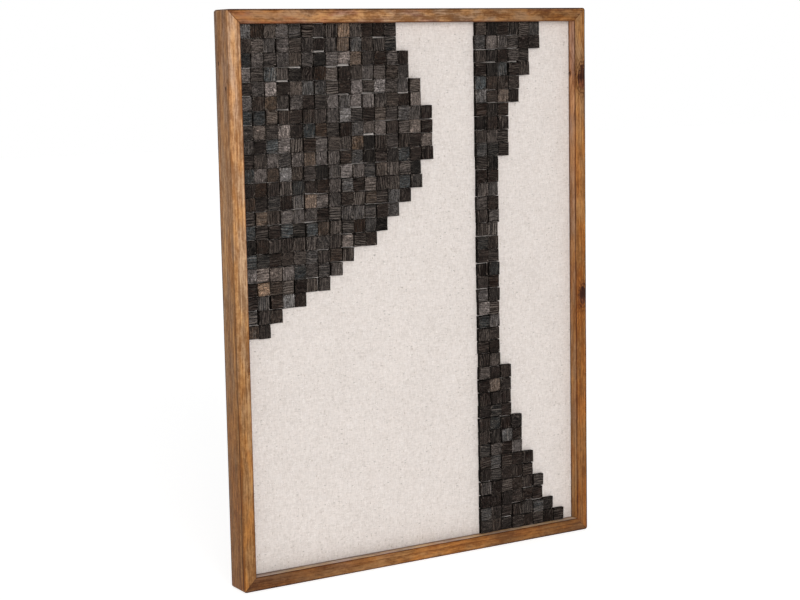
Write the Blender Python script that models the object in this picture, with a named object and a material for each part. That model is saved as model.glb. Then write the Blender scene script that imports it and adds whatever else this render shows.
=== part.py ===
"""Wood relief wall panel, a shadow box that hangs on a wall.

Four mitred wood rails hold a board, and linen is stretched over the board and
turned in behind it. Square wood blocks are laid on the linen in courses: a
rounded lobe that grows from the top left corner, and an upright band that
flares at its top and at its foot.

Metres, +Z up, and the front faces -Y. The origin is on the back face of the
top rail, halfway along it, where the panel is fixed to the wall.
"""

import math
import random

import bmesh
import bpy

# Frame
PANEL_WIDTH = 0.756
PANEL_HEIGHT = 1.016
PANEL_DEPTH = 0.050
RAIL_FACE = 0.0248        # width of a rail, seen from the front
RAIL_WEB = 0.0134         # thickness of a rail behind its rebate
FRONT_ROUND = 0.0020      # radius of the outer front edge
ROUND_STEPS = 3
EDGE_EASE = 0.0007        # chamfer of the other edges that show
CORNER_CUT = 0.0018       # rounding of the frame's corners, measured along a side

# Field
RECESS = 0.020            # front of the rails to the front of the linen
LINEN_THICKNESS = 0.0008
LINEN_TURN_IN = 0.022     # width of the linen's border on the back of the board
BOARD_THICKNESS = 0.006
REBATE_PLAY = 0.0008      # linen's edge to the rebate's wall
GAP = 0.0003              # clearance between pieces that touch

# Blocks, counted in courses from the top and in columns from the left
COURSES = 39
COLUMN_PITCH = 0.02445
LOBE_LEFT = 0.0002        # left edge of the lobe, from the left rail's inner wall
BAND_LEFT = 0.4870        # left edge of the band, from the same wall
BLOCK_THIN = 0.0055
BLOCK_THICK = 0.0095
JOINT_WIDTH = 0.0008      # gap between two blocks
JOINT_DEPTH = 0.0012      # depth of the joint between courses, below the thinner block
THICKNESS_SEED = 11

# Lobe: a straight shoulder above its fullest course, a quarter cosine below
LOBE_COURSES = 22
LOBE_FULLEST = 7.75
LOBE_WIDEST = 16.0
SHOULDER_SLOPE = 0.46
LOBE_DROP = 15.4

# Band: a straight waist that flares at both ends
WAIST = 2.2
HEAD_COURSES = 11.25
HEAD_SPREAD = 4.1
FOOT_COURSES = 14.5
FOOT_SPREAD = 5.35
FLARE_POWER = 1.6

# Worked out from the sizes above
TOP = RAIL_WEB / 2
BOTTOM = TOP - PANEL_HEIGHT
LEFT = -PANEL_WIDTH / 2
RIGHT = PANEL_WIDTH / 2
FRONT = -PANEL_DEPTH
INNER_TOP = TOP - RAIL_FACE
INNER_BOTTOM = BOTTOM + RAIL_FACE
INNER_LEFT = LEFT + RAIL_FACE
INNER_RIGHT = RIGHT - RAIL_FACE
LINEN_FRONT = FRONT + RECESS
BOARD_FRONT = LINEN_FRONT + LINEN_THICKNESS + GAP
BOARD_BACK = BOARD_FRONT + BOARD_THICKNESS
COURSE_PITCH = (INNER_TOP - INNER_BOTTOM) / COURSES
LINEN_REACH = RAIL_FACE - RAIL_WEB - REBATE_PLAY  # past the opening, into the rebate

FRAME_STAIN = (0.36, 0.17, 0.065)
BOARD_BROWN = (0.24, 0.15, 0.085)
OATMEAL = (0.76, 0.70, 0.64)
CHARCOAL = (0.045, 0.040, 0.037)


def lobe_width(course):
    """How many blocks the lobe has in a course, from the left rail."""
    if course > LOBE_COURSES:
        return 0
    above = LOBE_FULLEST - course
    if above > 0:
        return round(LOBE_WIDEST - SHOULDER_SLOPE * above)
    return round(LOBE_WIDEST * math.cos(math.pi / 2 * -above / LOBE_DROP))


def flare(distance, reach, spread):
    """Blocks that a flare adds, where distance counts courses from the band's end."""
    return spread * max(0.0, 1 - distance / reach) ** FLARE_POWER


def band_width(course):
    """How many blocks the band has in a course, from its straight left edge."""
    head = flare(course - 1, HEAD_COURSES, HEAD_SPREAD)
    foot = flare(COURSES - course, FOOT_COURSES, FOOT_SPREAD)
    return round(WAIST + head + foot)


AREAS = {
    "lobe": (INNER_LEFT + LOBE_LEFT, lobe_width),
    "band": (INNER_LEFT + BAND_LEFT, band_width),
}


def block_thicknesses():
    """Thickness of each block, by area, course and column: uneven stock."""
    rng = random.Random(THICKNESS_SEED)
    return {
        (area, course, column): rng.uniform(BLOCK_THIN, BLOCK_THICK)
        for area, (_, width) in AREAS.items()
        for course in range(1, COURSES + 1)
        for column in range(1, width(course) + 1)
    }


def column_runs(width):
    """Each unbroken run of courses that a column fills: (column, first, last)."""
    widest = max(width(course) for course in range(1, COURSES + 1))
    for column in range(1, widest + 1):
        first = None
        for course in range(1, COURSES + 2):
            filled = course <= COURSES and width(course) >= column
            if filled and first is None:
                first = course
            elif not filled and first is not None:
                yield column, first, course - 1
                first = None


def prism(name, sections, colour, roughness):
    """A closed solid through matching rings of points, with flat ends."""
    mesh = bpy.data.meshes.new(name)
    bm = bmesh.new()
    rings = [[bm.verts.new(point) for point in ring] for ring in sections]
    for ring, following in zip(rings, rings[1:]):
        for i, vertex in enumerate(ring):
            j = (i + 1) % len(ring)
            bm.faces.new((vertex, ring[j], following[j], following[i]))
    bm.faces.new(rings[0])
    bm.faces.new(rings[-1])
    bmesh.ops.recalc_face_normals(bm, faces=bm.faces)
    bm.to_mesh(mesh)
    bm.free()
    piece = bpy.data.objects.new(name, mesh)
    bpy.context.scene.collection.objects.link(piece)
    finish(piece, colour, roughness)
    return piece


def finish(piece, colour, roughness):
    """Gives a piece a plain material of its own."""
    material = bpy.data.materials.new(piece.name)
    material.use_nodes = True
    shader = material.node_tree.nodes["Principled BSDF"]
    shader.inputs["Base Color"].default_value = (*colour, 1.0)
    shader.inputs["Roughness"].default_value = roughness
    shader.inputs["Metallic"].default_value = 0.0
    piece.data.materials.append(material)


def rail_section():
    """A rail's section as (inset from the frame's outer face, y) points."""
    quarter = math.pi / 2
    angles = [quarter * i / ROUND_STEPS for i in range(ROUND_STEPS + 1)]
    rounded = [
        (FRONT_ROUND * (1 - math.cos(a)), FRONT + FRONT_ROUND * (1 - math.sin(a)))
        for a in angles
    ]
    ledge = LINEN_FRONT - GAP
    return rounded + [
        (RAIL_FACE - EDGE_EASE, FRONT),
        (RAIL_FACE, FRONT + EDGE_EASE),
        (RAIL_FACE, ledge),
        (RAIL_WEB, ledge),
        (RAIL_WEB, 0.0),
        (EDGE_EASE, 0.0),
        (0.0, -EDGE_EASE),
    ]


def trim_corner(piece, corner, inward):
    """Cuts the sharp tip off a mitred end, square to the corner's diagonal."""
    bm = bmesh.new()
    bm.from_mesh(piece.data)
    bmesh.ops.bisect_plane(
        bm,
        geom=bm.verts[:] + bm.edges[:] + bm.faces[:],
        plane_co=[corner[i] + inward[i] * CORNER_CUT / 2 for i in range(3)],
        plane_no=inward,
        clear_inner=True,
    )
    rim = [edge for edge in bm.edges if edge.is_boundary]
    bmesh.ops.holes_fill(bm, edges=rim)
    bmesh.ops.recalc_face_normals(bm, faces=bm.faces)
    bm.to_mesh(piece.data)
    bm.free()


def rail(name, length, place, direction):
    """One rail, mitred at both ends.

    place turns (distance along the rail, inset, y) into a point, and direction
    does so for a vector in the frame's plane.
    """
    half_mitre_gap = GAP / math.sqrt(2)
    near = [(inset + half_mitre_gap, inset, y) for inset, y in rail_section()]
    far = [(length - along, inset, y) for along, inset, y in near]
    rings = [[place(*point) for point in ring] for ring in (near, far)]
    piece = prism(name, rings, FRAME_STAIN, 0.55)
    trim_corner(piece, place(0.0, 0.0, 0.0), direction(1.0, 1.0))
    trim_corner(piece, place(length, 0.0, 0.0), direction(-1.0, 1.0))


def frame():
    """The four rails, with the rebate behind their inner lip."""
    rail(
        "frame_rail_top",
        PANEL_WIDTH,
        lambda along, inset, y: (LEFT + along, y, TOP - inset),
        lambda along, inset: (along, 0.0, -inset),
    )
    rail(
        "frame_rail_bottom",
        PANEL_WIDTH,
        lambda along, inset, y: (LEFT + along, y, BOTTOM + inset),
        lambda along, inset: (along, 0.0, inset),
    )
    rail(
        "frame_rail_left",
        PANEL_HEIGHT,
        lambda along, inset, y: (LEFT + inset, y, BOTTOM + along),
        lambda along, inset: (inset, 0.0, along),
    )
    rail(
        "frame_rail_right",
        PANEL_HEIGHT,
        lambda along, inset, y: (RIGHT - inset, y, BOTTOM + along),
        lambda along, inset: (-inset, 0.0, along),
    )


def around_opening(reach, y):
    """The rectangle that lies reach outside the frame's opening, at a depth."""
    left, right = INNER_LEFT - reach, INNER_RIGHT + reach
    bottom, top = INNER_BOTTOM - reach, INNER_TOP + reach
    return [(left, y, bottom), (right, y, bottom), (right, y, top), (left, y, top)]


def board():
    """The flat board, which fills the folded linen."""
    reach = LINEN_REACH - LINEN_THICKNESS - GAP
    rings = [around_opening(reach, y) for y in (BOARD_FRONT, BOARD_BACK)]
    prism("backing_board", rings, BOARD_BROWN, 0.8)


def linen():
    """One cloth: over the board's front, round its edges and in behind it."""
    inside = LINEN_REACH - LINEN_THICKNESS
    border = LINEN_REACH - LINEN_TURN_IN
    turned = BOARD_BACK + GAP
    rings = [
        around_opening(LINEN_REACH, LINEN_FRONT),
        around_opening(LINEN_REACH, turned + LINEN_THICKNESS),
        around_opening(border, turned + LINEN_THICKNESS),
        around_opening(border, turned),
        around_opening(inside, turned),
        around_opening(inside, LINEN_FRONT + LINEN_THICKNESS),
    ]
    prism("linen", rings, OATMEAL, 0.9)


def block_column(name, left, first, thicknesses):
    """A column of touching blocks, with a groove where two courses meet."""
    back = LINEN_FRONT - GAP
    profile = []
    for i, thickness in enumerate(thicknesses):
        head = INNER_TOP - (first - 1 + i) * COURSE_PITCH
        foot = head - COURSE_PITCH
        face = back - thickness
        profile.append((face, head - JOINT_WIDTH / 2))
        profile.append((face, foot + JOINT_WIDTH / 2))
        if i + 1 < len(thicknesses):
            thinner = min(thickness, thicknesses[i + 1])
            profile.append((back - thinner + JOINT_DEPTH, foot))
    profile.append((back, profile[-1][1]))
    profile.append((back, profile[0][1]))
    sides = (left + JOINT_WIDTH / 2, left + COLUMN_PITCH - JOINT_WIDTH / 2)
    rings = [[(x, y, z) for y, z in profile] for x in sides]
    prism(name, rings, CHARCOAL, 0.7)


def run_name(area, column, first, last):
    """A column's node name; the band's short columns belong to its head or its foot."""
    part = ""
    if area == "band" and last - first + 1 < COURSES:
        part = "head_" if first == 1 else "foot_"
    return f"{area}_{part}blocks_{column:02d}"


def blocks():
    """All the blocks, fused into one solid for each unbroken run of a column."""
    thickness_of = block_thicknesses()
    for area, (area_left, width) in AREAS.items():
        for column, first, last in column_runs(width):
            courses = range(first, last + 1)
            block_column(
                run_name(area, column, first, last),
                area_left + (column - 1) * COLUMN_PITCH,
                first,
                [thickness_of[area, course, column] for course in courses],
            )


def main():
    for leftover in list(bpy.data.objects):
        bpy.data.objects.remove(leftover, do_unlink=True)
    frame()
    linen()
    board()
    blocks()


main()
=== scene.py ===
"""Looks of the wood relief wall panel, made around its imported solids.

Metres, +Z up. The front faces -Y, and the origin is on the back of the top
rail, where the panel meets the wall.
"""

import math
import random

import bpy
from mathutils import Matrix, Vector


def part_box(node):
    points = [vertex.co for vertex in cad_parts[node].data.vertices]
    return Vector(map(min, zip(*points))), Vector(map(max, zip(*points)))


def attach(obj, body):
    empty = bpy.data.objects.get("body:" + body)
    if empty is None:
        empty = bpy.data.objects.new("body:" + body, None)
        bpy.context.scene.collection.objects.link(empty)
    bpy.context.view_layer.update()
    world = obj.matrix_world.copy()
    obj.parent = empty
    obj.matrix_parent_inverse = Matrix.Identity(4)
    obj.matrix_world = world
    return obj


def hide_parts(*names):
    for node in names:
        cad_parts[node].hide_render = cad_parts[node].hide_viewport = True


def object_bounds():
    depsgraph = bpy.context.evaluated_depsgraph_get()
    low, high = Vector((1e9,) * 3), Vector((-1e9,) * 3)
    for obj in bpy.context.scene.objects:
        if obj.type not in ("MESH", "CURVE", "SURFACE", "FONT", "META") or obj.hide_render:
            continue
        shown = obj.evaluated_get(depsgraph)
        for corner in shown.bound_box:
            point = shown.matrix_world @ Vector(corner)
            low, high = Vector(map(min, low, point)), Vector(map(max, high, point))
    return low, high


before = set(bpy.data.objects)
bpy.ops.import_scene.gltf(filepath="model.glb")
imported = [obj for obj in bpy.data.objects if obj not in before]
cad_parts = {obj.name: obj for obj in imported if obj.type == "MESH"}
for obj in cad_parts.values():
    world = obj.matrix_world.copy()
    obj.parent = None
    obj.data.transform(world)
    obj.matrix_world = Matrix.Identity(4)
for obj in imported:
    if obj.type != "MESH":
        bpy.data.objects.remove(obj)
SOLIDS_LOW, SOLIDS_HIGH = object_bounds()

# Places read from the solids
LEFT, FRONT, BOTTOM = SOLIDS_LOW
RIGHT, BACK, TOP = SOLIDS_HIGH
INNER_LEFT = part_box("frame_rail_left")[1].x
INNER_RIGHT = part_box("frame_rail_right")[0].x
INNER_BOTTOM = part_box("frame_rail_bottom")[1].z
INNER_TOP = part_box("frame_rail_top")[0].z
LINEN_LOW, LINEN_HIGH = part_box("linen")
RAIL_FACE = INNER_LEFT - LEFT
PANEL_HEIGHT = TOP - BOTTOM
PANEL_WIDTH = RIGHT - LEFT

# Frame
RAIL_WEB = 0.0134         # thickness of a rail behind its rebate
LEDGE_GAP = 0.0003        # from the rails' lip to the linen
MITRE_GAP = 0.00015       # half the hairline where two rails meet
CORNER_ROUND = 0.0050     # radius of the frame's corners, seen from the front
OUTER_ROUND = 0.0013      # radius of the outer front edge
INNER_ROUND = 0.0010      # radius of the inner front edge
BACK_ROUND = 0.0008       # radius of the two back edges
RAIL_STATION = 0.024      # spacing of a rail's cross-sections
HAND_SANDING = 0.00018    # how far sanding has eased an edge unevenly
SHARP_ANGLE = math.radians(38)  # an edge steeper than this isn't shaded smooth
STAIN_FIRST = 0.08        # shares of a rail's length at its first and last stain colours
STAIN_LAST = 0.92
KNOT_STRETCH = 0.56       # a knot's width against its length along the rail
KNOT_RING = 0.0040        # spacing of the rings round a knot

# Linen and board
LINEN_THICKNESS = 0.0008
FOLD_ROUND = 0.0011       # radius of the cloth's folds round the board
LINEN_TURN_IN = 0.022     # width of the border behind the board
THREAD_PITCH = 0.0011
SCREEN_PITCH = 0.0012     # of the faint mesh pattern on the hardboard

# Blocks
COURSES = 39
COLUMN_PITCH = 0.02445
COURSE_PITCH = (INNER_TOP - INNER_BOTTOM) / COURSES
COURSE_MARGIN = 0.0002    # keeps a neighbouring course's corners out of a course
BLOCK = Vector((0.0240, 0.0075, 0.0242))  # width, thickness and height of the pattern block
BLOCK_CHAMFER = 0.00045
BLOCK_SLIVER = 0.0003     # between a block's back and the linen
BLOCK_UNEVEN = 0.00080    # how far a sawn edge strays
BLOCK_SEED = 5
TIGHTEST_GAP = 0.0002     # between the courses
GAP_SPREAD = 0.0004       # how much wider a gap in the first course may be
LOOSER_DOWN = 0.0024      # and how much that grows down to the foot
HIGH_COURSES = INNER_TOP - 5.5 * COURSE_PITCH
SHORT_BLOCKS_HIGH = 0.16  # share of blocks cut short in the high courses, and below them
SHORT_BLOCKS_LOW = 0.025
SHORT_BLOCK_GAP = (0.0020, 0.0034)
LEAST_PLAY = 0.0005       # sideways between two blocks
MORE_PLAY = 0.0019        # how much more it may be
BLOCK_TURNS = (0.45, 0.90, 0.45)  # spread of a block's angles about X, Y and Z, in degrees
# Blocks darker down to the foot: a painted fall-off of light. They are darker in the band too.
PALEST_BLOCKS = 0.95      # power on a block's random tone in the lobe's first course
DARKER_DOWN = 1.00        # how much the power grows down to the foot
DARKER_BAND = 0.85        # and in the band

# Light and floor
ROOM_FRONT = 0.58         # brightness of the surroundings in front of the panel
ROOM_BEHIND = 0.34        # and behind it
ROOM_SHADED = 0.86        # how much of it is missing at the front right
KEY_LIGHT = 1.86          # strength of the broad light in front
KEY_SPREAD = math.radians(36.0)
KEY_HEADING = Vector((0.23, 1.0, -0.18))
FLOOR_REACH = 14.0
FLOOR_DROP = 0.0005       # from the panel's foot to the floor
FLOOR_GLOW = 0.76

# Camera, with angles in degrees, and lens and sensor in millimetres, aimed at a
# point on the plane of the panel's front
CAMERA_AZIMUTH = -31.52
CAMERA_ELEVATION = 7.71
CAMERA_ROLL = -1.063
CAMERA_DISTANCE = 3.3000
CAMERA_LENS = 81.73
CAMERA_SENSOR = 36.0
AIM_FROM_LEFT = 0.33195
AIM_FROM_BOTTOM = 0.49255


# ---------------------------------------------------------------- node trees


class Wire:
    """A node's output. Arithmetic on it adds Math nodes to its tree."""

    def __init__(self, maker, socket):
        self.maker = maker
        self.socket = socket

    def __add__(self, other):
        return self.maker.math("ADD", self, other)

    def __sub__(self, other):
        return self.maker.math("SUBTRACT", self, other)

    def __rsub__(self, other):
        return self.maker.math("SUBTRACT", other, self)

    def __mul__(self, other):
        return self.maker.math("MULTIPLY", self, other)

    def __truediv__(self, other):
        return self.maker.math("DIVIDE", self, other)

    def __pow__(self, other):
        return self.maker.math("POWER", self, other)

    __radd__ = __add__
    __rmul__ = __mul__


class Maker:
    """Adds nodes to a shader tree or a geometry tree."""

    def __init__(self, tree):
        self.tree = tree

    def node(self, kind, settings=None, inputs=None):
        """A node of that type. Its settings are set first, then its sockets by name or number."""
        made = self.tree.nodes.new(kind)
        for name, value in (settings or {}).items():
            if name == "stops":
                self.fill_ramp(made.color_ramp, value)
            else:
                setattr(made, name, value)
        for key, value in (inputs or {}).items():
            if isinstance(value, Wire):
                self.tree.links.new(value.socket, made.inputs[key])
            else:
                made.inputs[key].default_value = value
        return made

    def wire(self, kind, settings=None, inputs=None, output=0):
        return Wire(self, self.node(kind, settings, inputs).outputs[output])

    @staticmethod
    def fill_ramp(ramp, stops):
        while len(ramp.elements) < len(stops):
            ramp.elements.new(1.0)
        for element, (position, colour) in zip(ramp.elements, stops):
            element.position = position
            element.color = (*colour, 1.0)

    def math(self, operation, *values):
        return self.wire("ShaderNodeMath", {"operation": operation}, dict(enumerate(values)))

    def vector(self, operation, *values, output=0):
        settings = {"operation": operation}
        return self.wire("ShaderNodeVectorMath", settings, dict(enumerate(values)), output)

    def split(self, vector):
        parts = self.node("ShaderNodeSeparateXYZ", inputs={0: vector}).outputs
        return [Wire(self, part) for part in parts]

    def join(self, x, y, z):
        return self.wire("ShaderNodeCombineXYZ", inputs={0: x, 1: y, 2: z})

    def ramp(self, value, stops):
        return self.wire("ShaderNodeValToRGB", {"stops": stops}, {0: value})

    def colours(self, blend, factor, first, second):
        """Two colours mixed. A plain colour is given as three numbers."""
        settings = {"data_type": "RGBA", "blend_type": blend}
        first, second = (
            c if isinstance(c, Wire) else (*c, 1.0) for c in (first, second)
        )
        return self.wire("ShaderNodeMix", settings, {0: factor, 6: first, 7: second}, 2)

    def tinted(self, colour, *tints):
        """The colour multiplied by each shade in turn. A tint is (amount, shade)."""
        for amount, shade in tints:
            colour = self.colours("MULTIPLY", amount, colour, shade)
        return colour

    def grey(self, value):
        return self.wire("ShaderNodeCombineColor", inputs={0: value, 1: value, 2: value})

    def between(self, value, low, high, to_low=0.0, to_high=1.0):
        """A smooth step from to_low to to_high as the value goes from low to high."""
        return self.wire(
            "ShaderNodeMapRange",
            {"interpolation_type": "SMOOTHSTEP"},
            {0: value, 1: low, 2: high, 3: to_low, 4: to_high},
        )

    def noise(self, place, stretch, detail=2.0, roughness=0.5, output=0):
        """Noise with that many features a metre along each axis of the place."""
        scaled = self.vector("MULTIPLY", place, stretch)
        inputs = {"Vector": scaled, "Scale": 1.0, "Detail": detail, "Roughness": roughness}
        return self.wire("ShaderNodeTexNoise", inputs=inputs, output=output)

    def drift(self, place, stretch, detail=2.0):
        """Three noises about zero, as a vector."""
        noises = self.noise(place, stretch, detail=detail, output=1)
        return self.vector("SUBTRACT", noises, (0.5, 0.5, 0.5))

    def attribute(self, name):
        return self.wire("ShaderNodeAttribute", {"attribute_name": name}, output=1)


def new_material(name):
    """An empty node material, with its maker and its Principled shader."""
    material = bpy.data.materials.new(name)
    material.use_nodes = True
    maker = Maker(material.node_tree)
    shader = material.node_tree.nodes["Principled BSDF"]
    return material, maker, shader


def finish_shader(maker, shader, colour, roughness, height, bump_depth, specular=0.3):
    """Wires a surface's colour, roughness and bump to its shader."""
    bump = maker.wire(
        "ShaderNodeBump",
        inputs={"Strength": 1.0, "Distance": bump_depth, "Height": height},
    )
    shader.inputs["Specular IOR Level"].default_value = specular
    for socket, wire in (("Base Color", colour), ("Roughness", roughness), ("Normal", bump)):
        maker.tree.links.new(wire.socket, shader.inputs[socket])


# ----------------------------------------------------------------- materials


def from_end_to_end(m, share, colours):
    """A rail's colour by the share of its length, from colours at even steps."""
    step = (STAIN_LAST - STAIN_FIRST) / (len(colours) - 1)
    return m.ramp(share, [(STAIN_FIRST + step * i, colour) for i, colour in enumerate(colours)])


def knot_shares(m, spot, shifted, knots):
    """How much of each part of a knot a place has, for all the knots together.

    The parts are the core, the halo round it, the swirl of its rings, the
    strip under it, and how far it pushes the growth rings aside.
    """
    along, across, depth = spot
    core, halo, swirl, under, pushed = 0.0, 0.0, 0.0, 0.0, 0.0
    for knot_along, knot_across, knot_depth, radius in knots:
        ragged = m.noise(shifted, (90.0, 260.0, 260.0), detail=4.0, roughness=0.7) - 0.5
        far = m.math(
            "SQRT",
            ((along - knot_along) * KNOT_STRETCH) ** 2.0
            + (across - knot_across) ** 2.0
            + (depth - knot_depth) ** 2.0,
        )
        torn = far + ragged * (radius * 2.6)
        core = core + m.between(torn, radius * 0.78, radius * 1.02, 1.0, 0.0)
        near = m.between(far, radius * 1.1, radius * 1.9, 1.0, 0.0)
        halo = halo + near
        turns = (far + ragged * 0.0100) * (2 * math.pi / KNOT_RING)
        swirl = swirl + near * m.between(m.math("SINE", turns), 0.1, 0.7)
        low = m.between(along - knot_along, -radius * 0.9, radius * 0.1, 1.0, 0.0)
        under = under + near * low
        pushed = pushed + m.between(far, 0.0, radius * 3.6, 4.6, 0.0)
    return core, halo, swirl, under, pushed


def soiled_and_shaded_edges(m, wood, spot, length, inside, edge, shoulder, seat, mitres):
    """The wood's colour: stain darkens edges and joints; painted shade darkens the inner face's foot,
    and with darker wood the outer side.
    """
    along, across, depth = spot
    share = along / length
    outside = m.between(across, 0.0003, 0.0008, 1.0, 0.0) * m.between(depth, 0.0008, 0.0016)
    behind = outside * m.between(depth, 0.0030, 0.0056, 1.0, 0.0)
    behind = behind * m.between(share, 0.40, 0.95, shoulder, 0.0)
    arris = m.between(across + depth, 0.0012, 0.0032, 1.0, 0.0)
    lip = m.between(depth - across + RAIL_FACE, 0.0008, 0.0022, 1.0, 0.0)
    # painted shade at the foot of the inner face, where it meets the linen
    foot = inside * m.between(depth, seat, seat + 0.0018)
    to_mitre = m.math("MINIMUM", along, length - along) - across
    joint = m.between(to_mitre, 0.0002, 0.0014, 1.0, 0.0)
    joint = joint * m.between(share, 0.4, 0.6, *mitres)
    heel = m.between(depth - across, 0.0465, 0.0490)
    return m.tinted(
        wood,
        # the outer side darker, and greyer towards the rail's end: partly its own colour, partly
        # painted shade
        (outside, (0.84, 0.80, 0.76)),
        (outside * m.between(share, 0.5, 0.95), (0.80, 0.80, 0.82)),
        (behind, (0.42, 0.34, 0.28)),
        (arris * edge, (0.26, 0.19, 0.14)),
        (lip * 0.9, (0.34, 0.22, 0.19)),
        # painted shade at the inner face's foot
        (foot * 0.85, (0.34, 0.28, 0.25)),
        (joint, (0.40, 0.30, 0.24)),
        (heel * 0.85, (0.36, 0.30, 0.26)),
    )


def stained_wood(name, length, stain, inner, heart, seed, edge, rings=0.0038,
                 figured=0.3, even=0.0, shoulder=0.0, seat=0.0165, mitres=(0.7, 0.7),
                 knots=()):
    """Honey-brown stain on softwood, with rings and streaks that run along the rail.

    stain is the colour at even steps from the rail's start to its end, and inner
    the same for the face that looks into the opening. heart is where the tree's
    centre lies in the rail's section, as (across, depth), and rings their width.
    edge is how much stain its outer front edge holds, figured how wavy and cloudy
    its grain is, even how much the stain hides the grain, and shoulder how much
    stain the strip behind that edge holds at the rail's start. seat is the depth
    where the painted shade at the foot of the inner face begins, and mitres how dark
    its two mitre joints look. A knot is (along, across, depth, radius).
    """
    material, m, shader = new_material(name)
    place = m.attribute("grain")
    spot = m.split(place)
    along, across, depth = spot
    shifted = m.vector("ADD", place, (seed, seed * 0.37, seed * 0.71))
    curl = m.drift(shifted, (13.0, 34.0, 34.0))
    sway = 0.022 * figured
    curled = m.vector("MULTIPLY_ADD", curl, (0.0, sway, sway), shifted)

    core, halo, swirl, under, pushed = knot_shares(m, spot, shifted, knots)
    wander = m.noise(shifted, (2.2, 14.0, 14.0), detail=1.0) - 0.5
    away_x = across - heart[0] + wander * 0.016
    away_y = depth - heart[1] + wander * 0.009
    ring = m.math("SQRT", away_x**2.0 + away_y**2.0) / rings + pushed
    phase = m.math("FRACT", ring)
    ring_tone = m.wire("ShaderNodeTexWhiteNoise", {"noise_dimensions": "1D"},
                       {"W": m.math("FLOOR", ring)})
    late = m.between(phase, 0.45, 0.90) * m.between(phase, 0.93, 1.0, 1.0, 0.0)
    late = late * (ring_tone * 0.9 + 0.25)

    broad = m.noise(shifted, (2.4, 52.0, 52.0), detail=2.0)
    streak = m.noise(curled, (3.2, 190.0, 190.0), detail=4.0, roughness=0.68)
    cloud = m.noise(curled, (26.0, 66.0, 66.0), detail=3.0, roughness=0.6)
    fleck = m.noise(curled, (90.0, 330.0, 330.0), detail=3.0, roughness=0.6)
    tick = m.noise(shifted, (300.0, 190.0, 190.0), detail=2.0, roughness=0.6)
    thin = m.noise(curled, (13.0, 520.0, 520.0), detail=2.0, roughness=0.6)
    fibre = m.noise(shifted, (34.0, 1500.0, 1500.0), detail=2.0)
    pore = m.between(m.noise(shifted, (60.0, 1900.0, 1900.0), detail=1.0), 0.64, 0.72)

    straight = 1.3 - 0.75 * figured
    tone = (broad - 0.5) * 1.4 + (streak - 0.5) * (2.2 * straight)
    tone = tone + (cloud - 0.5) * (1.0 + 3.0 * figured) + (thin - 0.5) * (2.0 * straight)
    tone = tone + (fleck - 0.5) * (1.7 + 0.3 * figured) + (tick - 0.5) * (0.8 + 0.1 * figured)
    tone = tone + (fibre - 0.5) * 0.8 - late * 0.60
    inside = m.between(across, RAIL_FACE - 0.0009, RAIL_FACE - 0.0003)
    inside = inside * m.between(depth, 0.0006, 0.0014)
    tone = tone * ((1.0 - inside * 0.35) * (1.0 - even)) + 0.56
    tone = m.math("MINIMUM", m.math("MAXIMUM", tone, 0.0), 1.15)

    base = from_end_to_end(m, along / length, stain)
    base = m.colours("MIX", inside, base, from_end_to_end(m, along / length, inner))
    dark = m.tinted(base, (1.0, (0.60, 0.50, 0.40)))
    light = m.tinted(base, (1.0, (1.34, 1.42, 1.50)))
    wood = m.wire("ShaderNodeMix", {"data_type": "RGBA", "clamp_factor": False},
                  {0: tone, 6: dark, 7: light}, 2)
    patches = (10.0 + 13.0 * figured, 60.0, 60.0)
    amber = m.between(m.noise(curled, patches, detail=3.0), 0.38, 0.64)
    blush = m.between(m.noise(curled, (17.0, 48.0, 48.0), detail=2.0), 0.50, 0.66)
    wood = m.tinted(
        wood,
        (amber, (1.08, 0.97, 0.76)),
        (1.0 - amber, (0.93, 1.0, 1.16)),
        (blush * figured, (0.86, 0.76, 0.86)),
        (pore * 0.5, (0.55, 0.48, 0.42)),
    )
    if knots:
        wood = m.tinted(
            wood,
            (m.math("MINIMUM", halo * 0.45, 0.6), (0.62, 0.44, 0.28)),
            (m.math("MINIMUM", swirl * 0.75, 0.9), (0.28, 0.18, 0.10)),
        )
        heartwood = m.ramp(thin * 0.3 + streak * 0.2 + fleck * 0.5 + under * 0.11, [
            (0.46, (0.020, 0.0040, 0.0012)),
            (0.55, (0.050, 0.0150, 0.0055)),
            (0.66, (0.190, 0.0580, 0.0220)),
        ])
        wood = m.colours("MIX", m.math("MINIMUM", core * 0.97, 0.97), wood, heartwood)
    wood = soiled_and_shaded_edges(m, wood, spot, length, inside, edge, shoulder, seat, mitres)

    roughness = 0.52 + (streak - 0.5) * 0.25 + pore * 0.15
    height = fibre * 0.35 - late * 0.5 - pore * 0.8 + streak * 0.5 + fleck * 0.3
    finish_shader(m, shader, wood, roughness, height, bump_depth=0.00022, specular=0.12)
    return material


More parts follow.
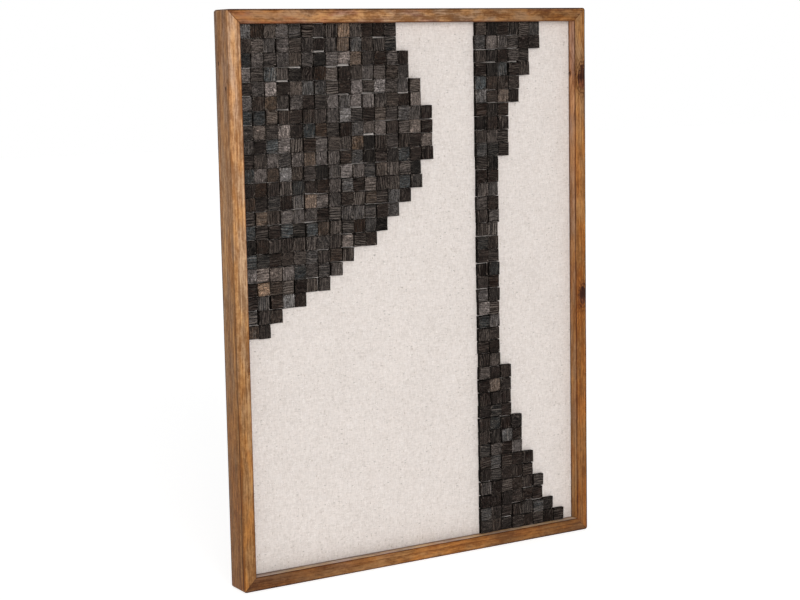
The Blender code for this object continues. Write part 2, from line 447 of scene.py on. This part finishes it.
def oatmeal_linen():
    """Undyed linen in plain weave, with slubs, grey and brown flecks and pale specks."""
    material, m, shader = new_material("oatmeal_linen")
    place = m.wire("ShaderNodeTexCoord", output=3)
    x, _, z = m.split(place)
    wobble = m.drift(place, (90.0, 90.0, 90.0))
    sway_x, _, sway_z = m.split(wobble)
    warp = m.math("SINE", (x + sway_x * 0.0016) * (math.pi / THREAD_PITCH))
    weft = m.math("SINE", (z + sway_z * 0.0016) * (math.pi / THREAD_PITCH))
    crossing = warp * weft
    pillow = m.math("ABSOLUTE", crossing)
    warp_slub = m.noise(place, (620.0, 620.0, 110.0), detail=2.0)
    weft_slub = m.noise(place, (110.0, 620.0, 620.0), detail=2.0)
    on_top = m.between(crossing, -0.25, 0.25)
    slub = warp_slub * on_top + weft_slub * (1.0 - on_top)

    thread = m.ramp(slub, [
        (0.28, (0.586, 0.525, 0.486)),
        (0.50, (0.710, 0.650, 0.611)),
        (0.74, (0.774, 0.725, 0.696)),
    ])
    mottle = m.noise(place, (210.0, 210.0, 210.0), detail=3.0, roughness=0.6)
    cloud = m.noise(place, (14.0, 14.0, 14.0), detail=2.0)
    thread = m.tinted(
        thread,
        (1.0, m.grey(0.81 + mottle * 0.30 + cloud * 0.08)),
        ((1.0 - pillow) * 0.22, (0.66, 0.62, 0.58)),
    )
    swayed = m.vector("MULTIPLY_ADD", wobble, (0.004, 0.004, 0.004), place)
    for stretch, seed, shade, amount in (
        ((105.0, 105.0, 240.0), 3.1, (0.19, 0.165, 0.145), 0.49),
        ((260.0, 160.0, 120.0), 8.4, (0.34, 0.27, 0.215), 0.60),
        ((330.0, 330.0, 300.0), 5.7, (0.29, 0.270, 0.250), 0.52),
        ((190.0, 190.0, 420.0), 1.9, (0.38, 0.335, 0.290), 0.60),
        ((400.0, 400.0, 400.0), 6.3, (0.95, 0.925, 0.905), 0.85),
        ((370.0, 370.0, 370.0), 2.6, (0.92, 0.895, 0.875), 0.75),
    ):
        shifted = m.vector("MULTIPLY_ADD", swayed, stretch, (seed, seed, seed))
        cell = m.node("ShaderNodeTexVoronoi", inputs={"Vector": shifted, "Scale": 1.0})
        chosen = m.between(m.split(Wire(m, cell.outputs["Color"]))[0], 0.08, 0.12, 1.0, 0.0)
        near = m.between(Wire(m, cell.outputs["Distance"]), 0.12, 0.30, 1.0, 0.0)
        thread = m.colours("MIX", chosen * near * amount, thread, shade)

    height = pillow * 0.7 + slub * 0.7
    roughness = 0.88 + slub * 0.1
    finish_shader(m, shader, thread, roughness, height, bump_depth=0.00030, specular=0.15)
    return material


def charcoal_block_wood():
    """Charcoal-stained wood, sawn across and along: each block has its own tone and grain, and its
    sides darken into the joints, partly stain, partly painted shade.
    """
    material, m, shader = new_material("charcoal_block_wood")
    grain = m.attribute("grain")
    mark = m.attribute("mark")
    chance_tone, chance_hue, chance_figure = m.split(mark)
    more = m.wire("ShaderNodeTexWhiteNoise", inputs={"Vector": mark}, output=1)
    chance_streak, chance_pit, chance_slant = m.split(more)
    to_edge, _, depth = m.split(m.attribute("cut"))

    own = m.vector("MULTIPLY_ADD", mark, (7.0, 7.0, 7.0), grain)
    warp = m.drift(own, (38.0, 75.0, 75.0), detail=1.5)
    swirl = m.between(chance_figure, 0.45, 1.0, 0.004, 0.024)
    bent = m.vector("MULTIPLY_ADD", warp, m.join(swirl, swirl, swirl), own)
    along, across, inward = m.split(bent)
    across = across + along * (chance_slant - 0.5) * 0.30
    lines = m.join(along, across, inward)

    spread = m.noise(lines, (18.0, 300.0, 300.0), detail=2.0, roughness=0.6)
    period = chance_pit * 0.0020 + 0.0034
    wave = m.math("SINE", across / period * (2 * math.pi) + (spread - 0.5) * 6.0)
    bands = 0.5 + wave * 0.16 + (spread - 0.5) * 1.1
    strands = m.noise(lines, (34.0, 520.0, 520.0), detail=3.0, roughness=0.6)
    fine = m.noise(lines, (90.0, 1500.0, 1500.0), detail=2.0)
    blotch = m.noise(own, (110.0, 110.0, 110.0), detail=2.0)
    mottle = m.noise(own, (330.0, 330.0, 330.0), detail=3.0, roughness=0.6)
    pits = m.between(m.noise(own, (380.0, 520.0, 380.0), detail=1.0), 0.60, 0.68)
    pits = pits * m.between(chance_pit, 0.35, 0.85)
    scratch = m.between(m.noise(lines, (60.0, 900.0, 900.0), detail=1.0), 0.60, 0.70)
    figure = m.between(chance_streak, 0.30, 1.0, 0.34, 1.0)
    groove = m.between(bands, 0.28, 0.50, 1.0, 0.0) * figure
    crest = m.between(bands * 0.75 + strands * 0.25, 0.50, 0.68) * figure

    tone = m.ramp(chance_tone, [
        (0.00, (0.0056, 0.0036, 0.0030)),
        (0.25, (0.0126, 0.0108, 0.0100)),
        (0.50, (0.0210, 0.0204, 0.0200)),
        (0.75, (0.0350,) * 3),
        (0.93, (0.0680,) * 3),
        (1.00, (0.1150,) * 3),
    ])
    hue = m.ramp(chance_hue, [
        (0.00, (0.38, 0.44, 0.46)),
        (0.07, (0.47, 0.52, 0.54)),
        (0.10, (1.04, 1.00, 0.98)),
        (0.30, (1.11, 0.99, 0.95)),
        (0.60, (1.17, 0.98, 0.90)),
        (0.90, (1.24, 0.97, 0.82)),
        (0.97, (1.36, 0.95, 0.70)),
        (1.00, (1.50, 0.95, 0.60)),
    ])
    shade = (strands - 0.5) * 7.9 + (fine - 0.5) * 5.0
    shade = shade + (blotch - 0.5) * 2.8 + (mottle - 0.5) * 6.6
    colour = m.tinted(
        tone,
        (1.0, hue),
        (1.0, m.grey(m.math("POWER", 2.0, shade))),
        (groove * 0.95, (0.13, 0.11, 0.10)),
    )
    worn = m.between(chance_tone, 0.0, 0.55, 0.58, 1.0)
    bright = m.between(chance_figure, 0.0, 0.9, 0.62, 0.30) * worn
    colour = m.colours("MIX", crest * bright, colour, (0.230, 0.190, 0.162))
    colour = m.colours("MIX", scratch * 0.34 * worn, colour, (0.250, 0.212, 0.180))
    rim = m.between(to_edge, 0.0002, 0.0009, 1.0, 0.0)
    frayed = m.between(strands * 0.5 + mottle * 0.5, 0.51, 0.61)
    colour = m.tinted(
        colour,
        (pits * 0.85, (0.15, 0.13, 0.12)),
        (rim * (1.0 - frayed) * 0.92, (0.20, 0.18, 0.17)),
    )
    colour = m.colours("MIX", rim * frayed * 0.52, colour, (0.24, 0.20, 0.17))
    # the sides darker deeper into the joints: partly the sides' own stain, partly painted shade
    stain_and_shade_deeper = m.between(depth, 0.0003, 0.0017)
    colour = m.tinted(colour, (stain_and_shade_deeper * 0.94, (0.22, 0.185, 0.17)))

    roughness = 0.80 + (blotch - 0.5) * 0.3 - crest * 0.1
    height = crest * 0.35 - groove * 0.8 + strands * 0.6 + fine * 0.3 - pits * 0.7
    finish_shader(m, shader, colour, roughness, height, bump_depth=0.00060, specular=0.05)
    return material


def hardboard():
    """Bare brown hardboard, with matted fibres and a faint screen pattern."""
    material, m, shader = new_material("hardboard")
    place = m.wire("ShaderNodeTexCoord", output=3)
    fibre = m.noise(place, (420.0, 420.0, 420.0), detail=4.0, roughness=0.7)
    cloud = m.noise(place, (9.0, 9.0, 9.0), detail=3.0)
    hair = m.noise(place, (900.0, 300.0, 120.0), detail=2.0)
    colour = m.ramp(fibre * 0.60 + cloud * 0.08 + hair * 0.32, [
        (0.34, (0.150, 0.088, 0.048)),
        (0.50, (0.235, 0.145, 0.082)),
        (0.66, (0.330, 0.220, 0.135)),
    ])
    x, _, z = m.split(place)
    screen = m.math("SINE", x * (math.pi / SCREEN_PITCH))
    screen = screen * m.math("SINE", z * (math.pi / SCREEN_PITCH))
    height = fibre * 0.7 + screen * 0.25
    roughness = 0.80 + fibre * 0.1
    finish_shader(m, shader, colour, roughness, height, bump_depth=0.00018, specular=0.2)
    return material


# -------------------------------------------------------------------- meshes


def new_object(name, mesh, material):
    """A mesh put in the scene with its material."""
    piece = bpy.data.objects.new(name, mesh)
    bpy.context.scene.collection.objects.link(piece)
    mesh.materials.clear()
    mesh.materials.append(material)
    return piece


def skin(name, rings, material, attributes=None):
    """A closed piece through matching rings of points, with flat ends.

    attributes maps a name to one vector for each point, in the rings' order.
    """
    size = len(rings[0])
    points = [point for ring in rings for point in ring]
    faces = []
    for r in range(len(rings) - 1):
        for i in range(size):
            j = (i + 1) % size
            near, far = r * size, (r + 1) * size
            faces.append((near + i, near + j, far + j, far + i))
    faces.append(tuple(reversed(range(size))))
    faces.append(tuple(range(len(points) - size, len(points))))
    mesh = bpy.data.meshes.new(name)
    mesh.from_pydata(points, [], faces)
    for label, vectors in (attributes or {}).items():
        layer = mesh.attributes.new(label, "FLOAT_VECTOR", "POINT")
        layer.data.foreach_set("vector", [n for vector in vectors for n in vector])
    piece = new_object(name, mesh, material)
    face_outwards(mesh)
    mesh.shade_smooth()
    mesh.set_sharp_from_angle(angle=SHARP_ANGLE)
    return piece


def face_outwards(mesh):
    """Turns the mesh inside out if its faces point in."""
    volume = 0.0
    mesh.calc_loop_triangles()
    for triangle in mesh.loop_triangles:
        a, b, c = (mesh.vertices[i].co for i in triangle.vertices)
        volume += a.dot(b.cross(c))
    if volume < 0:
        mesh.flip_normals()


def arc(centre, radius, first, last, steps):
    """Points on a quarter or part of a circle, with angles in degrees."""
    angles = [math.radians(first + (last - first) * i / steps) for i in range(steps + 1)]
    return [
        (centre[0] + radius * math.cos(a), centre[1] + radius * math.sin(a)) for a in angles
    ]


# ---------------------------------------------------------------------- frame


def rail_section():
    """A rail's section as (inset from the frame's outer face, depth) points."""
    ledge = LINEN_LOW.y - FRONT - LEDGE_GAP
    depth = BACK - FRONT
    outer = arc((OUTER_ROUND, OUTER_ROUND), OUTER_ROUND, 180, 270, 4)
    inner = arc((RAIL_FACE - INNER_ROUND, INNER_ROUND), INNER_ROUND, -90, 0, 3)
    back_inner = arc((RAIL_WEB - BACK_ROUND, depth - BACK_ROUND), BACK_ROUND, 0, 90, 2)
    back_outer = arc((BACK_ROUND, depth - BACK_ROUND), BACK_ROUND, 90, 180, 2)
    face = [(RAIL_FACE * share, 0.0) for share in (0.35, 0.65)]
    side = [(0.0, depth * share) for share in (0.7, 0.4)]
    return (
        outer + face + inner
        + [(RAIL_FACE, ledge), (RAIL_WEB, ledge)]
        + back_inner + back_outer + side
    )


def mitred_end(inset, share):
    """(along, inset) near a mitred end; share goes from 0, the rail's body, to 1, the mitre.

    Within the frame's rounded corner a point follows an arc about the corner's
    centre, and further in it runs straight to the mitre.
    """
    if inset >= CORNER_ROUND:
        return inset + CORNER_ROUND * (1 - share), inset
    turn = math.radians(45) * share
    reach = CORNER_ROUND - inset
    along = CORNER_ROUND - reach * math.sin(turn)
    return along, CORNER_ROUND - reach * math.cos(turn)


def rail(name, node, length, place, material, seed):
    """One rail. place turns (distance along the rail, inset, y) into a point."""
    rng = random.Random(seed)
    section = rail_section()
    end_shares = (1.0, 0.66, 0.33, 0.0)
    stations = round(length / RAIL_STATION)
    rows = [[mitred_end(inset, share) for inset, _ in section] for share in end_shares]
    near = rows[-1]
    for step in range(1, stations):
        share = step / stations
        rows.append([
            (start + (length - 2 * start) * share, inset) for start, inset in near
        ])
    far_end = reversed(rows[:len(end_shares)])
    rows += [[(length - start, inset) for start, inset in row] for row in far_end]

    rings, grain = [], []
    for number, row in enumerate(rows):
        at_end = min(number, len(rows) - 1 - number) < len(end_shares)
        eased = 0.0 if at_end else rng.uniform(0.0, HAND_SANDING)
        ring = []
        for (along, inset), (nominal, depth) in zip(row, section):
            gap = MITRE_GAP * math.sqrt(2) * (1 - 2 * along / length)
            on_arris = depth < OUTER_ROUND and nominal < OUTER_ROUND
            give = eased if on_arris else 0.0
            ring.append(place(along + gap, inset + give, FRONT + depth + give))
            grain.append((along, inset, depth))
        rings.append(ring)
    piece = skin(name, rings, material, {"grain": grain})
    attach(piece, "root")
    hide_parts(node)
    return piece


def frame_rails():
    """The four rails, each in its own wood."""
    left_knots = (
        (0.395, 0.0225, -0.0024, 0.0030),
        (0.882, 0.0, 0.012, 0.0020),
        (0.925, 0.0, 0.037, 0.0017),
    )
    right_knots = (
        (0.465, 0.0070, 0.0, 0.0112),
        (0.885, 0.0056, 0.0, 0.0140),
        (0.8935, RAIL_FACE, 0.0150, 0.0028),
    )
    rail(
        "top_rail", "frame_rail_top", PANEL_WIDTH,
        lambda along, inset, y: (LEFT + along, y, TOP - inset),
        stained_wood(
            "honey_stain_top", PANEL_WIDTH,
            ((0.251, 0.112, 0.042), (0.301, 0.159, 0.074), (0.308, 0.170, 0.086),
             (0.212, 0.110, 0.050), (0.190, 0.083, 0.026)),
            ((0.330, 0.160, 0.070),) * 3, (0.055, -0.020), seed=3.0, edge=0.95,
            figured=1.0, mitres=(0.7, 0.0),
        ),
        seed=1,
    )
    rail(
        "bottom_rail", "frame_rail_bottom", PANEL_WIDTH,
        lambda along, inset, y: (LEFT + along, y, BOTTOM + inset),
        stained_wood(
            "honey_stain_bottom", PANEL_WIDTH,
            ((0.121, 0.049, 0.017), (0.283, 0.121, 0.034), (0.153, 0.063, 0.018)),
            ((0.490, 0.350, 0.235), (0.600, 0.425, 0.285), (0.600, 0.425, 0.285)),
            (-0.030, 0.060), seed=11.0, edge=0.80,
            figured=0.55, even=0.16, seat=0.0125, mitres=(0.5, 0.0),
        ),
        seed=2,
    )
    rail(
        "left_rail", "frame_rail_left", PANEL_HEIGHT,
        lambda along, inset, y: (LEFT + inset, y, BOTTOM + along),
        stained_wood(
            "honey_stain_left", PANEL_HEIGHT,
            ((0.268, 0.120, 0.036), (0.304, 0.147, 0.051), (0.380, 0.215, 0.102),
             (0.466, 0.254, 0.117), (0.421, 0.238, 0.126)),
            ((0.330, 0.160, 0.070),) * 3, (0.012, 0.085), seed=7.0, edge=0.10,
            rings=0.0066, figured=0.2, shoulder=0.9, mitres=(0.5, 0.7),
            knots=left_knots,
        ),
        seed=3,
    )
    rail(
        "right_rail", "frame_rail_right", PANEL_HEIGHT,
        lambda along, inset, y: (RIGHT - inset, y, BOTTOM + along),
        stained_wood(
            "honey_stain_right", PANEL_HEIGHT,
            ((0.192, 0.071, 0.017), (0.300, 0.123, 0.029), (0.252, 0.124, 0.046)),
            ((0.334, 0.158, 0.055), (0.359, 0.188, 0.083), (0.328, 0.159, 0.065),
             (0.383, 0.208, 0.110), (0.432, 0.228, 0.132)),
            (-0.040, -0.030), seed=17.0, edge=0.95, seat=0.0157, mitres=(0.0, 0.0),
            knots=right_knots,
        ),
        seed=4,
    )


# ---------------------------------------------------------------------- linen


def linen_section():
    """The folded cloth's section at an edge, as (reach past the opening, y) points.

    It runs over the front, round the board's edge and in behind the board, and
    back along the cloth's inner side.
    """
    reach = LINEN_HIGH.x - INNER_RIGHT
    front, back = LINEN_LOW.y, LINEN_HIGH.y
    border = reach - LINEN_TURN_IN
    r, inner = FOLD_ROUND, FOLD_ROUND - LINEN_THICKNESS
    outside = (
        arc((reach - r, front + r), r, -90, 0, 3)
        + arc((reach - r, back - r), r, 0, 90, 3)
        + [(border, back)]
    )
    inside = (
        [(border, back - LINEN_THICKNESS)]
        + arc((reach - r, back - r), inner, 90, 0, 2)
        + arc((reach - r, front + r), inner, 0, -90, 2)
    )
    return outside + inside


def stretched_linen(material):
    """The cloth over the board's front, folded round its edges, as one piece."""
    rings = []
    for reach, y in linen_section():
        left, right = INNER_LEFT - reach, INNER_RIGHT + reach
        bottom, top = INNER_BOTTOM - reach, INNER_TOP + reach
        rings.append([(left, y, bottom), (right, y, bottom), (right, y, top), (left, y, top)])
    piece = skin("stretched_linen", rings, material)
    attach(piece, "root")
    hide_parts("linen")
    return piece


# --------------------------------------------------------------------- blocks


def pattern_block():
    """One sawn block with eased front edges, centred on the origin."""
    half = BLOCK / 2
    columns, rows = (
        [-size, -size + BLOCK_CHAMFER, -size / 3, size / 3, size - BLOCK_CHAMFER, size]
        for size in (half.x, half.z)
    )
    last = len(columns) - 1
    points, number = [], {}
    for i, x in enumerate(columns):
        for j, z in enumerate(rows):
            rim = i in (0, last) or j in (0, last)
            number[i, j] = len(points)
            points.append((x, -half.y + (BLOCK_CHAMFER if rim else 0.0), z))
    faces = [
        (number[i, j], number[i + 1, j], number[i + 1, j + 1], number[i, j + 1])
        for i in range(last) for j in range(last)
    ]
    rim = (
        [number[i, 0] for i in range(last)]
        + [number[last, j] for j in range(last)]
        + [number[i, last] for i in range(last, 0, -1)]
        + [number[0, j] for j in range(last, 0, -1)]
    )
    back = []
    for index in rim:
        x, _, z = points[index]
        back.append(len(points))
        points.append((x, half.y, z))
    for i in range(len(rim)):
        j = (i + 1) % len(rim)
        faces.append((rim[j], rim[i], back[i], back[j]))
    faces.append(tuple(back))
    mesh = bpy.data.meshes.new("pattern_block")
    mesh.from_pydata(points, [], faces)
    face_outwards(mesh)
    layer = mesh.attributes.new("local", "FLOAT_VECTOR", "POINT")
    layer.data.foreach_set("vector", [n for point in points for n in point])
    block = bpy.data.objects.new("pattern_block", mesh)
    bpy.context.scene.collection.objects.link(block)
    return block


def laying_tree():
    """Geometry Nodes that set a sized and turned block on each point.

    A point's scale, turn, mark and crosswise attributes give the block's size,
    its angles, its random marks and whether its grain lies level.
    """
    tree = bpy.data.node_groups.new("lay_blocks", "GeometryNodeTree")
    for name, kind in (
        ("Places", "NodeSocketGeometry"),
        ("Block", "NodeSocketObject"),
        ("Unevenness", "NodeSocketFloat"),
        ("Seed", "NodeSocketInt"),
        ("Finish", "NodeSocketMaterial"),
    ):
        tree.interface.new_socket(name, in_out="INPUT", socket_type=kind)
    tree.interface.new_socket("Blocks", in_out="OUTPUT", socket_type="NodeSocketGeometry")
    m = Maker(tree)
    given = {s.name: Wire(m, s) for s in m.node("NodeGroupInput").outputs if s.name}

    def named(label, kind="FLOAT_VECTOR"):
        return m.wire("GeometryNodeInputNamedAttribute", {"data_type": kind}, {"Name": label})

    def stored(geometry, label, value):
        settings = {"data_type": "FLOAT_VECTOR", "domain": "POINT"}
        inputs = {"Geometry": geometry, "Name": label, "Value": value}
        return m.wire("GeometryNodeStoreNamedAttribute", settings, inputs)

    block = m.node("GeometryNodeObjectInfo", inputs={"Object": given["Block"]})
    laid = m.wire("GeometryNodeInstanceOnPoints", inputs={
        "Points": given["Places"],
        "Instance": Wire(m, block.outputs["Geometry"]),
        "Rotation": m.wire("FunctionNodeEulerToRotation", inputs={0: named("turn")}),
        "Scale": named("scale"),
    })
    made = m.wire("GeometryNodeRealizeInstances", inputs={"Geometry": laid})

    x, y, z = m.split(m.vector("MULTIPLY", named("local"), named("scale")))
    wide, thick, tall = m.split(m.vector("MULTIPLY", named("scale"), tuple(BLOCK / 2)))
    below = y + thick
    to_edge = m.math("MINIMUM", wide - m.math("ABSOLUTE", x), tall - m.math("ABSOLUTE", z))
    made = stored(made, "cut", m.join(to_edge, 0.0, below))
    level = named("crosswise", "FLOAT")
    along = x * level + z * (1.0 - level)
    across = z * level + x * (1.0 - level)
    made = stored(made, "grain", m.join(along, across, below))

    place = m.wire("GeometryNodeInputPosition")
    seeded = m.vector("ADD", place, m.join(given["Seed"], given["Seed"], given["Seed"]))
    stray = m.drift(seeded, (170.0, 170.0, 170.0), detail=1.0)
    reach = given["Unevenness"] * 2.0
    offset = m.vector("MULTIPLY", stray, m.join(reach, reach * 0.6, reach))
    made = m.wire("GeometryNodeSetPosition", inputs={"Geometry": made, "Offset": offset})
    finished = m.wire(
        "GeometryNodeSetMaterial", inputs={"Geometry": made, "Material": given["Finish"]}
    )
    m.node("NodeGroupOutput", inputs={0: finished})
    return tree


def block_fronts(node):
    """(foot, head, y of the face) of each block in a fused column, read from its solid."""
    low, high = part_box(node)
    count = round((high.z - low.z) / COURSE_PITCH)
    first = round((INNER_TOP - high.z) / COURSE_PITCH)
    corners = [v.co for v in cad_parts[node].data.vertices]
    fronts = []
    for number in range(count):
        head = INNER_TOP - (first + number) * COURSE_PITCH
        foot = head - COURSE_PITCH
        middle, reach = (head + foot) / 2, COURSE_PITCH / 2 - COURSE_MARGIN
        face = min(c.y for c in corners if abs(c.z - middle) < reach)
        fronts.append((foot, head, face))
    return fronts


def column_of_blocks(node, tree, block, finish, rng):
    """The separate blocks of one column, each with its own size, angle and marks."""
    low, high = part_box(node)
    middle = (low.x + high.x) / 2
    back = LINEN_LOW.y - BLOCK_SLIVER
    in_band = node.startswith("band")
    places, scales, turns, marks, crosswise = [], [], [], [], []
    for foot, head, face in block_fronts(node):
        down = (INNER_TOP - head) / (INNER_TOP - INNER_BOTTOM)
        gap = TIGHTEST_GAP + (GAP_SPREAD + LOOSER_DOWN * down) * rng.random()
        if rng.random() < (SHORT_BLOCKS_HIGH if head > HIGH_COURSES else SHORT_BLOCKS_LOW):
            gap = rng.uniform(*SHORT_BLOCK_GAP)
        play = LEAST_PLAY + MORE_PLAY * rng.random() ** 2
        width = COLUMN_PITCH - play
        height = COURSE_PITCH - gap
        slack = COURSE_PITCH - height
        places.append((
            middle + rng.uniform(-0.5, 0.5) * play,
            (back + face) / 2,
            (foot + head) / 2 + rng.uniform(-0.5, 0.5) * slack,
        ))
        scales += [width / BLOCK.x, (back - face) / BLOCK.y, height / BLOCK.z]
        turns += [math.radians(rng.gauss(0.0, spread)) for spread in BLOCK_TURNS]
        # painted fall-off of light darkens the blocks down to the foot; the band is darker too
        darker = PALEST_BLOCKS + DARKER_DOWN * down + (DARKER_BAND if in_band else 0.0)
        marks += [rng.random() ** darker, rng.random(), rng.random()]
        crosswise.append(float(rng.random() < 0.5))
    mesh = bpy.data.meshes.new("places")
    mesh.from_pydata(places, [], [])
    for label, kind, key, values in (
        ("scale", "FLOAT_VECTOR", "vector", scales),
        ("turn", "FLOAT_VECTOR", "vector", turns),
        ("mark", "FLOAT_VECTOR", "vector", marks),
        ("crosswise", "FLOAT", "value", crosswise),
    ):
        mesh.attributes.new(label, kind, "POINT").data.foreach_set(key, values)
    seedbed = bpy.data.objects.new("places", mesh)
    bpy.context.scene.collection.objects.link(seedbed)
    modifier = seedbed.modifiers.new("lay_blocks", "NODES")
    modifier.node_group = tree
    given = {
        "Block": block,
        "Unevenness": BLOCK_UNEVEN,
        "Seed": BLOCK_SEED,
        "Finish": finish,
    }
    for item in tree.interface.items_tree:
        if item.item_type == "SOCKET" and item.name in given:
            modifier[item.identifier] = given[item.name]
    depsgraph = bpy.context.evaluated_depsgraph_get()
    laid = bpy.data.meshes.new_from_object(
        seedbed.evaluated_get(depsgraph), preserve_all_data_layers=True, depsgraph=depsgraph
    )
    bpy.data.objects.remove(seedbed, do_unlink=True)
    return laid


def sawn_blocks():
    """All the blocks, one piece for each column of them."""
    tree = laying_tree()
    block = pattern_block()
    finish = charcoal_block_wood()
    rng = random.Random(BLOCK_SEED)
    for node in sorted(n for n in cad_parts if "_blocks_" in n):
        mesh = column_of_blocks(node, tree, block, finish, rng)
        name = node.replace("blocks", "column")
        mesh.name = name
        piece = new_object(name, mesh, finish)
        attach(piece, "root")
        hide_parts(node)
    bpy.data.objects.remove(block, do_unlink=True)


# ---------------------------------------------------------------------- stage


def pale_floor():
    """A plain pale floor under the panel, bright enough to meet the white around it."""
    mesh = bpy.data.meshes.new("floor")
    corners = [
        (x * FLOOR_REACH, y * FLOOR_REACH, BOTTOM - FLOOR_DROP)
        for x, y in ((-1, -1), (1, -1), (1, 1), (-1, 1))
    ]
    mesh.from_pydata(corners, [], [(0, 1, 2, 3)])
    material, _, shader = new_material("pale_floor")
    shader.inputs["Base Color"].default_value = (0.60, 0.60, 0.60, 1.0)
    shader.inputs["Roughness"].default_value = 0.9
    shader.inputs["Specular IOR Level"].default_value = 0.0
    shader.inputs["Emission Color"].default_value = (1.0, 1.0, 1.0, 1.0)
    shader.inputs["Emission Strength"].default_value = FLOOR_GLOW
    new_object("floor", mesh, material)


def studio():
    """White surroundings, dimmer behind and at the front right, and one broad soft light in front."""
    world = bpy.data.worlds.new("white_room")
    world.use_nodes = True
    m = Maker(world.node_tree)
    backdrop = world.node_tree.nodes["Background"]
    rightward, behind, _ = m.split(m.wire("ShaderNodeTexCoord"))
    seen = m.wire("ShaderNodeLightPath")
    shaded = m.between(rightward, 0.0, 0.45) * m.between(behind, -0.25, 0.05, 1.0, 0.0)
    room = m.between(behind, -0.6, 0.5, ROOM_FRONT, ROOM_BEHIND) * (1.0 - shaded * ROOM_SHADED)
    strength = m.math("MAXIMUM", room, seen)
    m.tree.links.new(strength.socket, backdrop.inputs["Strength"])
    backdrop.inputs["Color"].default_value = (1.0, 1.0, 1.0, 1.0)
    bpy.context.scene.world = world
    data = bpy.data.lights.new("high_front", "SUN")
    data.energy = KEY_LIGHT
    data.angle = KEY_SPREAD
    light = bpy.data.objects.new("high_front", data)
    light.rotation_euler = KEY_HEADING.to_track_quat("-Z", "Y").to_euler()
    bpy.context.scene.collection.objects.link(light)
    view = bpy.context.scene.view_settings
    view.view_transform = "Standard"
    view.look = "None"


def camera():
    """The camera, at its angles round the point it is aimed at."""
    azimuth, elevation = math.radians(CAMERA_AZIMUTH), math.radians(CAMERA_ELEVATION)
    back = Vector((
        math.sin(azimuth) * math.cos(elevation),
        -math.cos(azimuth) * math.cos(elevation),
        math.sin(elevation),
    ))
    aim = Vector((LEFT + AIM_FROM_LEFT, FRONT, BOTTOM + AIM_FROM_BOTTOM))
    level = Vector((0.0, 0.0, 1.0)).cross(back).normalized()
    upright = back.cross(level)
    roll = math.radians(CAMERA_ROLL)
    right = level * math.cos(roll) + upright * math.sin(roll)
    up = upright * math.cos(roll) - level * math.sin(roll)
    data = bpy.data.cameras.new("camera")
    data.lens = CAMERA_LENS
    data.sensor_width = CAMERA_SENSOR
    data.clip_end = 100.0
    viewer = bpy.data.objects.new("camera", data)
    axes = Matrix((right, up, back)).transposed().to_4x4()
    viewer.matrix_world = Matrix.Translation(aim + back * CAMERA_DISTANCE) @ axes
    bpy.context.scene.collection.objects.link(viewer)
    bpy.context.scene.camera = viewer


frame_rails()
stretched_linen(oatmeal_linen())
sawn_blocks()
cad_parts["backing_board"].data.materials.clear()
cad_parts["backing_board"].data.materials.append(hardboard())
pale_floor()
studio()
camera()
